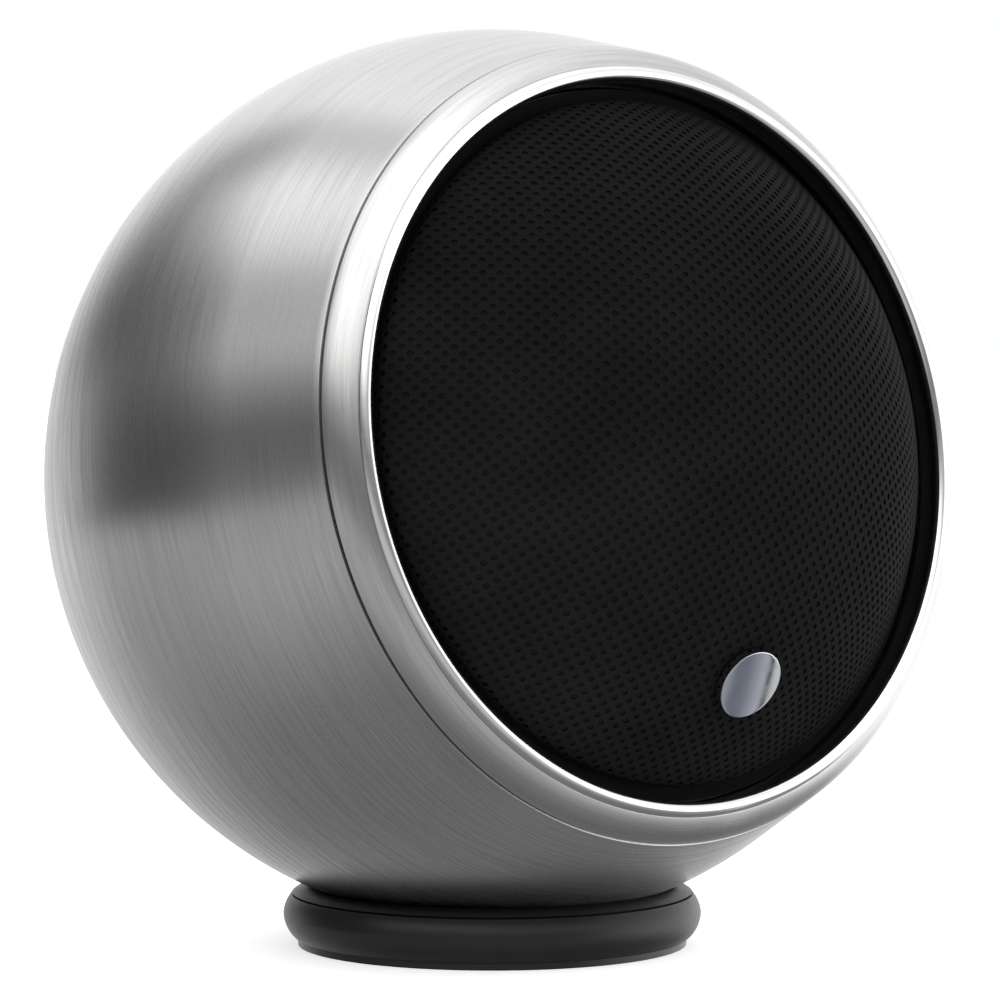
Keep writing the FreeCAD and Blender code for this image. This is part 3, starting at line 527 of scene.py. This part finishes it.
def on_grille(point, depth):
    """A flat point of the knit laid on the form."""
    distance = min(point.length, GrilleForm.length)
    if distance < 1e-9:
        return Vector((0, 0, GRILLE_CROWN - depth))
    radius, z = GrilleForm.at(distance, depth)
    return Vector((*(point.normalized() * radius), z))


def make_grille():
    """The black knit: one closed sheet with an opening in each cell of a slanted grid."""
    corners = [(-0.5, -0.5), (-1 / 6, -0.5), (1 / 6, -0.5), (0.5, -0.5), (0.5, -1 / 6), (0.5, 1 / 6),
               (0.5, 0.5), (1 / 6, 0.5), (-1 / 6, 0.5), (-0.5, 0.5), (-0.5, 1 / 6), (-0.5, -1 / 6)]
    sides = len(corners)
    reach = int(GrilleForm.length / PITCH) + 2
    vertices, faces = [], []

    def drift(point):
        return Vector(noise.noise_vector(Vector((*(point / STRAY_SPAN), 3.7)))[:2]) * STRAY * MM

    def lay(i, j, s, t, depth):
        flat = STEP_A * (i + s) + STEP_B * (j + t)
        vertices.append(on_grille(flat + drift(flat), depth))
        return len(vertices) - 1

    for i in range(-reach, reach + 1):
        for j in range(-reach, reach + 1):
            distance = (STEP_A * i + STEP_B * j).length
            if distance > GrilleForm.length + PITCH:
                continue
            outer = [lay(i, j, s, t, THREAD_DEPTH * (1 + (-1) ** round(6 * (s + t)) * 0.5))
                     for s, t in corners]
            under = [lay(i, j, s, t, CLOTH) for s, t in corners]
            if distance > GrilleForm.length - PLAIN_EDGE:
                top, low = lay(i, j, 0, 0, PLAIN_DEPTH), lay(i, j, 0, 0, CLOTH)
                for k in range(sides):
                    n = (k + 1) % sides
                    faces += [(outer[k], outer[n], top), (under[n], under[k], low)]
                continue
            open_share = OPEN_SHARE + OPEN_SPREAD * noise.noise(Vector((i * 1.7, j * 1.3, 0.5)))
            rings = []
            for share, depth in ((1.14, LIP_DEPTH), (1.0, 0.5 * CLOTH), (1.1, CLOTH)):
                ring = []
                for s, t in corners:
                    angle = math.atan2(t, s)
                    radius = open_share * share * (1 + 0.05 * math.cos(4 * angle + math.pi))
                    ring.append(lay(i, j, radius * math.cos(angle), radius * math.sin(angle), depth))
                rings.append(ring)
            for low, high in ((outer, rings[0]), (rings[0], rings[1]), (rings[1], rings[2]),
                              (rings[2], under)):
                for k in range(sides):
                    n = (k + 1) % sides
                    faces.append((low[k], low[n], high[n], high[k]))
    piece = new_piece("grille_knit", vertices, faces)
    shape = bmesh.new()
    shape.from_mesh(piece.data)
    bmesh.ops.remove_doubles(shape, verts=shape.verts, dist=WELD)
    bmesh.ops.dissolve_degenerate(shape, edges=shape.edges, dist=SLIVER)
    loose = [vertex for vertex in shape.verts if not vertex.link_faces]
    bmesh.ops.delete(shape, geom=loose, context="VERTS")
    bmesh.ops.recalc_face_normals(shape, faces=shape.faces)
    shape.to_mesh(piece.data)
    shape.free()
    piece.data.shade_smooth()
    settle(piece, "grille", "grille_cloth", "grille_mesh")


def make_scrim():
    """The thin cloth behind the knit, from the frame's front face over the dome."""
    outer = DOME - CLOTH - SCRIM_GAP
    inner, foot = outer - SCRIM, turned_size("grille_frame")[3] + SCRIM_GAP / 2
    edge = Vector((math.sin(GrilleForm.lean), math.cos(GrilleForm.lean)))
    outline = [(edge.x * inner, foot), (edge.x * outer, foot), edge * outer,
               *arc(edge * outer, (0, outer), outer, +1, MM),
               (0, inner), *arc((0, inner), edge * inner, inner, -1, MM)]
    settle(lathe("grille_scrim", [tuple(point) for point in outline], count=160), "grille",
           "grille_cloth", "grille_mesh")


def make_hem():
    """The cloth's edge, turned out flat over the frame's flange."""
    points = points_of("grille_frame")
    radii = np.hypot(points[:, 0], points[:, 1])
    rim = float(radii.max())
    face = float(points[radii > rim - TOUCH][:, 2].max())
    outline = [(GRILLE_RADIUS - SCRIM, face), (rim, face), (rim, face + SCRIM),
               (GRILLE_RADIUS - SCRIM, face + SCRIM)]
    settle(lathe("grille_hem", softened(outline, FINE_EDGE), count=200), "grille",
           "grille_cloth", "grille_mesh")


def make_badge():
    """The round badge on the grille, with a bevelled rim and a barely crowned face."""
    points = points_of("badge")
    middle = Vector((points.min(0) + points.max(0)) / 2)
    turn = Vector((0, 0, 1)).rotation_difference(middle).to_matrix().to_4x4()
    seat = HEAD @ Matrix.Translation(middle) @ turn
    _, radius, low, high = (float(value) for value in turned_size("badge", seat))
    bevel, crown, crown_radius = 0.1 * MM, 0.05 * MM, 150 * MM
    outline = [(0, low), (radius, low), (radius, high - bevel),
               *arc((radius, high - bevel), (radius - bevel, high - crown), 1.2 * bevel, +1, 0.05 * MM),
               *arc((radius - bevel, high - crown), (0, high), crown_radius, +1, 0.2 * MM)]
    settle(lathe("badge_disc", outline, seat, ROUND_SIDES // 2, False), "grille",
           "badge_steel", "badge")


make_grille()
make_scrim()
make_hem()
make_badge()


# ---- the base ----

def make_base():
    """The rubber ring: a round bulge up to a crease, a dished top and a groove for the ballast."""
    points = points_of("base_ring", ROW)
    radii = np.hypot(points[:, 0], points[:, 1])
    crease_height = float(points[:, 2].max())
    foot = float(points[:, 2].min())
    bore, bulge_radius = float(radii.min()), float(radii.max())
    bulge = float(points[radii > bulge_radius - 0.003 * MM][:, 2].mean())
    top = points[:, 2] > crease_height - TOUCH
    crease, ledge_radius = float(radii[top].max()), float(radii[top].min())
    ledge = float(points[(np.abs(radii - bore) < TOUCH)][:, 2].max())
    foot_radius = float(turned_size("foot_pad", ROW)[1]) + 0.2 * MM
    ballast_inner, ballast_outer, _, ballast_top = turned_size("ballast_ring", ROW)
    outline = [
        (bore, foot), (ballast_inner - 2 * SMALL_GAP, foot),
        (ballast_inner - 2 * SMALL_GAP, ballast_top + 2 * SMALL_GAP),
        (ballast_outer + 2 * SMALL_GAP, ballast_top + 2 * SMALL_GAP),
        (ballast_outer + 2 * SMALL_GAP, foot), (foot_radius, foot),
        *arc((foot_radius, foot), (bulge_radius, bulge), bulge, +1, 0.15 * MM),
        *arc((bulge_radius, bulge), (crease, crease_height), bulge, +1, 0.15 * MM),
        (ledge_radius, crease_height), (ledge_radius, ledge), (bore, ledge)]
    settle(lathe("ring_base", divided(softened(outline, EDGE), SHORT_RUN), ROW),
           "base", "base_rubber", "base_ring")


make_base()


# ---- the pad of wadding ----

def make_wadding():
    """A loose round pad: a crowned closed form pushed about by lumps and tufts."""
    _, reach, back, front = turned_size("wadding")
    middle, half = (back + front) / 2, (front - back) / 2
    around, along = 180, 72
    # how quickly the two faces reach full width, and the share of the way each of them takes
    ramp = 3.2
    flat = 1 / ramp
    lump_span, lump_depth, tuft_span, tuft_depth = 7 * MM, 0.5 * MM, 1.6 * MM, 0.18 * MM
    deepest, bulge = 1.2 * MM, 0.9 * half
    vertices, faces = [], []
    for i in range(along + 1):
        radius = (reach - bulge) * min(1.0, i / along * ramp, (1 - i / along) * ramp)
        swell = max(0.0, min(1.0, (i / along - flat) / (1 - 2 * flat)))
        rim = math.sin(math.pi * swell)
        z = half * math.cos(math.pi * swell)
        for k in range(around):
            angle = 2 * math.pi * k / around
            r = radius + bulge * rim
            point = Vector((r * math.cos(angle), r * math.sin(angle), z))
            lump = noise.fractal(point / lump_span, 0.9, 2.1, 4) * lump_depth
            tuft = noise.fractal(point / tuft_span + Vector((9, 2, 5)), 0.8, 2.2, 3) * tuft_depth
            sag = (0.75 + 0.25 * rim) * (abs(lump) + abs(tuft))
            inward = Vector((-math.cos(angle) * rim, -math.sin(angle) * rim,
                             -math.copysign(1 - rim, z)))
            moved = point + inward * min(sag, deepest)
            vertices.append((moved.x, moved.y, middle + moved.z))
            if i < along:
                n = (k + 1) % around
                row, above = i * around, (i + 1) * around
                faces.append((row + k, row + n, above + n, above + k))
    piece = new_piece("wadding_pad", vertices, faces)
    shape = bmesh.new()
    shape.from_mesh(piece.data)
    bmesh.ops.remove_doubles(shape, verts=shape.verts, dist=0.25 * MM)
    bmesh.ops.holes_fill(shape, edges=[edge for edge in shape.edges if edge.is_boundary])
    bmesh.ops.recalc_face_normals(shape, faces=shape.faces)
    shape.to_mesh(piece.data)
    shape.free()
    piece.data.shade_smooth()
    settle(piece, "head", "wadding_fibre", "wadding")


make_wadding()


# ---- the pieces that flex between the basket and the cone ----

def make_flexing(node, name, slot):
    """A copy of the node's form in the slot's finish, standing in for the node."""
    source = frame["nodes"][node]
    piece = bpy.data.objects.new(name, source.data.copy())
    bpy.context.scene.collection.objects.link(piece)
    piece.data.materials.clear()
    piece.data.materials.append(bpy.data.materials[slot])
    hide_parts(node)
    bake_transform(piece)


def make_suspension():
    """Surround, spider and tinsel leads, each copied unchanged from its CAD node."""
    make_flexing("surround", "cone_surround", "surround_rubber")
    make_flexing("spider", "coil_spider", "spider_cloth")
    make_flexing("flex_leads", "tinsel_leads", "coil_copper")


make_suspension()


# ---- screws with a cross recess ----

# an arm's half length and half width as shares of the head's radius, its depth as a share of the
# head's height, and how much its foot narrows
CROSS_REACH, CROSS_WIDTH, CROSS_DEPTH, CROSS_TAPER = 0.62, 0.17, 0.55, 0.72


def make_screws(node, name, count, start, way_out):
    """The CAD's screws again, each with a domed head and a cross recess, facing one way."""
    points = points_of(node)
    radii = np.hypot(points[:, 0], points[:, 1])
    circle = float(radii.min() + radii.max()) / 2
    home = Matrix.Rotation(math.radians(start), 4, "Z") @ Matrix.Translation((circle, 0, 0))
    own = points @ np.array(home.inverted())[:3, :3].T + np.array(home.inverted())[:3, 3]
    own = own[np.hypot(own[:, 0], own[:, 1]) < (radii.max() - radii.min()) * 0.51]
    across = np.hypot(own[:, 0], own[:, 1])
    along = own[:, 2] * way_out
    tip, top, head = float(along.min()), float(along.max()), float(across.max())
    shank = float(across[along < tip + TOUCH].max())
    seat = float(along[across > head - TOUCH].min())
    bend, crown, crown_radius = 0.5 * shank, 0.06 * MM, 5 * MM
    outline = [(0, tip), (shank, tip), (shank, seat), (head, seat), (head, top - bend),
               *arc((head, top - bend), (head - bend, top - crown), 1.05 * bend, +1, 0.05 * MM),
               *arc((head - bend, top - crown), (0, top), crown_radius, +1, 0.15 * MM)]
    for i in range(count):
        turn = Matrix.Rotation(math.radians(start + 360 * i / count), 4, "Z")
        place = HEAD @ turn @ Matrix.Translation((circle, 0, 0))
        if way_out < 0:
            place = place @ Matrix.Rotation(math.pi, 4, "X")
        spin = place @ Matrix.Rotation(0.7 + 1.9 * i, 4, "Z")
        screw = lathe(f"{name}_{i + 1}", outline, spin, SMALL_SIDES, False)
        for k in range(2):
            arm = spin @ Matrix.Rotation(k * math.pi / 2, 4, "Z") @ Matrix.Translation((0, 0, top))
            cut(screw, bar(CROSS_REACH * head, CROSS_WIDTH * head, CROSS_DEPTH * (top - seat), arm))
        settle(screw, "head", "black_screw")
    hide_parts(node)


def bar(half_length, half_width, deep, home):
    """A cutter with a tapered foot, for one arm of a cross recess."""
    corners = [(-half_length, -half_width), (half_length, -half_width), (half_length, half_width),
               (-half_length, half_width)]
    low = [(x * CROSS_TAPER, y * CROSS_TAPER, -deep) for x, y in corners]
    high = [(x, y, deep) for x, y in corners]
    faces = [(3, 2, 1, 0), (4, 5, 6, 7), *((k, (k + 1) % 4, 4 + (k + 1) % 4, 4 + k) for k in range(4))]
    return new_piece("cutter", low + high, faces, home)


make_screws("cup_screws", "cup_screw", 4, 0, -1)
make_screws("driver_screws", "driver_screw", 4, 45, 1)


# ---- stage, light and camera ----

VIEW_AZIMUTH, VIEW_ELEVATION = math.radians(-37.78), math.radians(2.126)
VIEW_DISTANCE, VIEW_LENS = 0.520, 160.59
SENSOR, NEAREST, FARTHEST = 36.0, 0.01, 50.0
AIM_RIGHT, AIM_UP = 0.91 * MM, -2.58 * MM

back_way = Vector((math.sin(VIEW_AZIMUTH) * math.cos(VIEW_ELEVATION),
                   -math.cos(VIEW_AZIMUTH) * math.cos(VIEW_ELEVATION), math.sin(VIEW_ELEVATION)))
view_right = Vector((0, 0, 1)).cross(back_way).normalized()
view_up = back_way.cross(view_right)


def make_camera():
    """The camera at the photograph's viewing angle, aimed a little off the ball's middle."""
    data = bpy.data.cameras.new("camera")
    data.lens, data.sensor_width = VIEW_LENS, SENSOR
    data.clip_start, data.clip_end = NEAREST, FARTHEST
    camera = bpy.data.objects.new("camera", data)
    camera.location = CENTRE + back_way * VIEW_DISTANCE
    aim = CENTRE + view_right * AIM_RIGHT + view_up * AIM_UP
    camera.rotation_euler = (camera.location - aim).to_track_quat("Z", "Y").to_euler()
    bpy.context.scene.collection.objects.link(camera)
    bpy.context.scene.camera = camera


def make_room():
    """The studio's soft light, as a world that changes smoothly with direction.

    Each wall is a list of (elevation in degrees, brightness). Seen from the ball, the room is dark
    in front and on the left, white on the right and behind, and bright overhead.
    """
    walls = {
        "back": [(-90, 0.2), (-50, 0.28), (-30, 0.65), (-14, 1.2), (-5, 1.3), (20, 1.2), (50, 1.2),
                 (90, 1.8)],
        "corner": [(-90, 0.2), (-50, 0.24), (-9, 0.95), (-2, 1.0), (6, 0.7), (13, 0.06), (44, 0.05),
                   (52, 0.3), (60, 1.1), (90, 1.9)],
        "left": [(-90, 0.2), (-50, 0.24), (-9, 0.46), (-5, 0.06), (33, 0.05), (40, 0.35), (46, 1.3),
                 (56, 1.5), (90, 1.9)],
        "front": [(-90, 0.18), (-50, 0.23), (-20, 0.56), (-6, 0.5), (0, 0.3), (12, 0.2), (20, 0.5),
                  (29, 1.4), (42, 1.9), (90, 2.0)],
        "window": [(-90, 0.18), (-50, 0.2), (-24, 0.34), (-15, 1.8), (5, 1.9), (25, 1.2), (40, 1.0),
                   (60, 1.3), (90, 1.9)],
        "right": [(-90, 0.16), (-50, 0.18), (-27, 0.3), (-16, 1.6), (5, 1.9), (25, 1.2), (40, 1.0),
                  (60, 1.3), (90, 1.9)]}
    brightest = 2.0
    world = bpy.data.worlds.new("studio")
    world.use_nodes = True
    tree = world.node_tree
    room = Finish.on(tree)
    split = room.add("SeparateXYZ", {0: room.add("TexCoord", output="Generated")}).node.outputs
    flat_back = Vector((back_way.x, back_way.y, 0)).normalized()
    forward, sideways = [
        room.math("ADD", room.math("MULTIPLY", split[0], axis.x),
                  room.math("MULTIPLY", split[1], axis.y)) for axis in (flat_back, view_right)]
    turn = room.math("ARCTAN2", sideways, forward)
    lift = room.range(room.math("ARCSINE", split[2]), -math.pi / 2, math.pi / 2, 0.0, 1.0)
    shade = {name: room.colours(lift, *(((elevation + 90) / 180, (value / brightest,) * 3)
                                        for elevation, value in wall)) for name, wall in walls.items()}
    seen = shade["back"]
    for first, last, wall in ((-154, -138, "corner"), (-132, -118, "left"), (-80, -64, "front"),
                              (52, 80, "window"), (88, 104, "right"), (150, 178, "back")):
        share = room.add("MapRange", {0: turn, 1: math.radians(first), 2: math.radians(last)},
                         interpolation_type="SMOOTHSTEP")
        seen = room.mix(share, seen, shade[wall])
    light = tree.nodes["Background"]
    light.inputs["Strength"].default_value = brightest
    tree.links.new(seen, light.inputs["Color"])
    paper = room.add("Background", {"Color": (1, 1, 1, 1), "Strength": 1.0})
    camera_sees = room.add("LightPath", output="Is Camera Ray")
    # the camera sees plain white paper behind the ball, in every view
    both = room.add("MixShader", {0: camera_sees, 1: light.outputs[0], 2: paper})
    tree.links.new(both, tree.nodes["World Output"].inputs["Surface"])
    bpy.context.scene.world = world


def make_floor():
    """A plain pale floor, which the glossy pieces don't mirror."""
    size = 4.0
    mesh = bpy.data.meshes.new("floor")
    mesh.from_pydata([(-size, -size, 0), (size, -size, 0), (size, size, 0), (-size, size, 0)], [],
                     [(0, 1, 2, 3)])
    floor = bpy.data.objects.new("floor", mesh)
    material = bpy.data.materials.new("floor_paper")
    material.use_nodes = True
    paper = {"Base Color": (0.9, 0.9, 0.9, 1), "Roughness": 0.8,
             "Emission Color": (1, 1, 1, 1), "Emission Strength": 0.6}
    for name, value in paper.items():
        material.node_tree.nodes["Principled BSDF"].inputs[name].default_value = value
    mesh.materials.append(material)
    bpy.context.scene.collection.objects.link(floor)
    floor.visible_glossy = False


CARD_WIDTH, CARD_HEIGHT, CARD_DISTANCE = 0.07, 0.09, 0.3
CARD_SHADES = [(0.25, (0.36, 0.37, 0.4)), (0.33, (0.17, 0.18, 0.21)), (0.44, (0.2, 0.21, 0.24)),
               (0.56, (0.4, 0.41, 0.44)), (0.62, (0.56, 0.57, 0.6)), (0.635, (0.03, 0.03, 0.035)),
               (0.67, (0.03, 0.03, 0.035)), (0.685, (0.68, 0.68, 0.66))]


def make_badge_card():
    """A small shaded card that only the badge mirrors: a grey sweep, a dark upright and a pale edge."""
    disc = bpy.data.objects["badge_disc"]
    facing = disc.matrix_world.to_3x3().col[2].normalized()
    seat = disc.matrix_world.translation
    seen = (seat - bpy.context.scene.camera.location).normalized()
    mirrored = seen.reflect(facing)
    across = view_right.reflect(facing)
    up = mirrored.cross(across)
    middle = seat + mirrored * CARD_DISTANCE
    mesh = bpy.data.meshes.new("badge_card")
    mesh.from_pydata([tuple(middle + across * CARD_WIDTH * x + up * CARD_HEIGHT * y)
                      for x, y in ((-0.5, -0.5), (0.5, -0.5), (0.5, 0.5), (-0.5, 0.5))], [],
                     [(0, 1, 2, 3)])
    card = bpy.data.objects.new("badge_card", mesh)
    material = bpy.data.materials.new("card_shades")
    material.use_nodes = True
    paint = Finish.on(material.node_tree)
    paint.tree.nodes.clear()
    place = paint.add("TexCoord", output="Object")
    offset = paint.add("VectorMath", {0: place, 1: tuple(middle)}, operation="SUBTRACT")
    along = paint.add("VectorMath", {0: offset, 1: tuple(across)}, output=1, operation="DOT_PRODUCT")
    share = paint.range(along, -CARD_WIDTH / 2, CARD_WIDTH / 2, 0.0, 1.0)
    shades = paint.colours(share, *CARD_SHADES)
    glow = paint.add("Emission", {"Color": shades, "Strength": 1.0})
    output = paint.tree.nodes.new("ShaderNodeOutputMaterial")
    paint.tree.links.new(glow, output.inputs["Surface"])
    mesh.materials.append(material)
    bpy.context.scene.collection.objects.link(card)
    card.visible_camera = card.visible_diffuse = card.visible_shadow = False


bpy.context.scene.view_settings.view_transform = "Standard"
make_camera()
make_room()
make_floor()
make_badge_card()
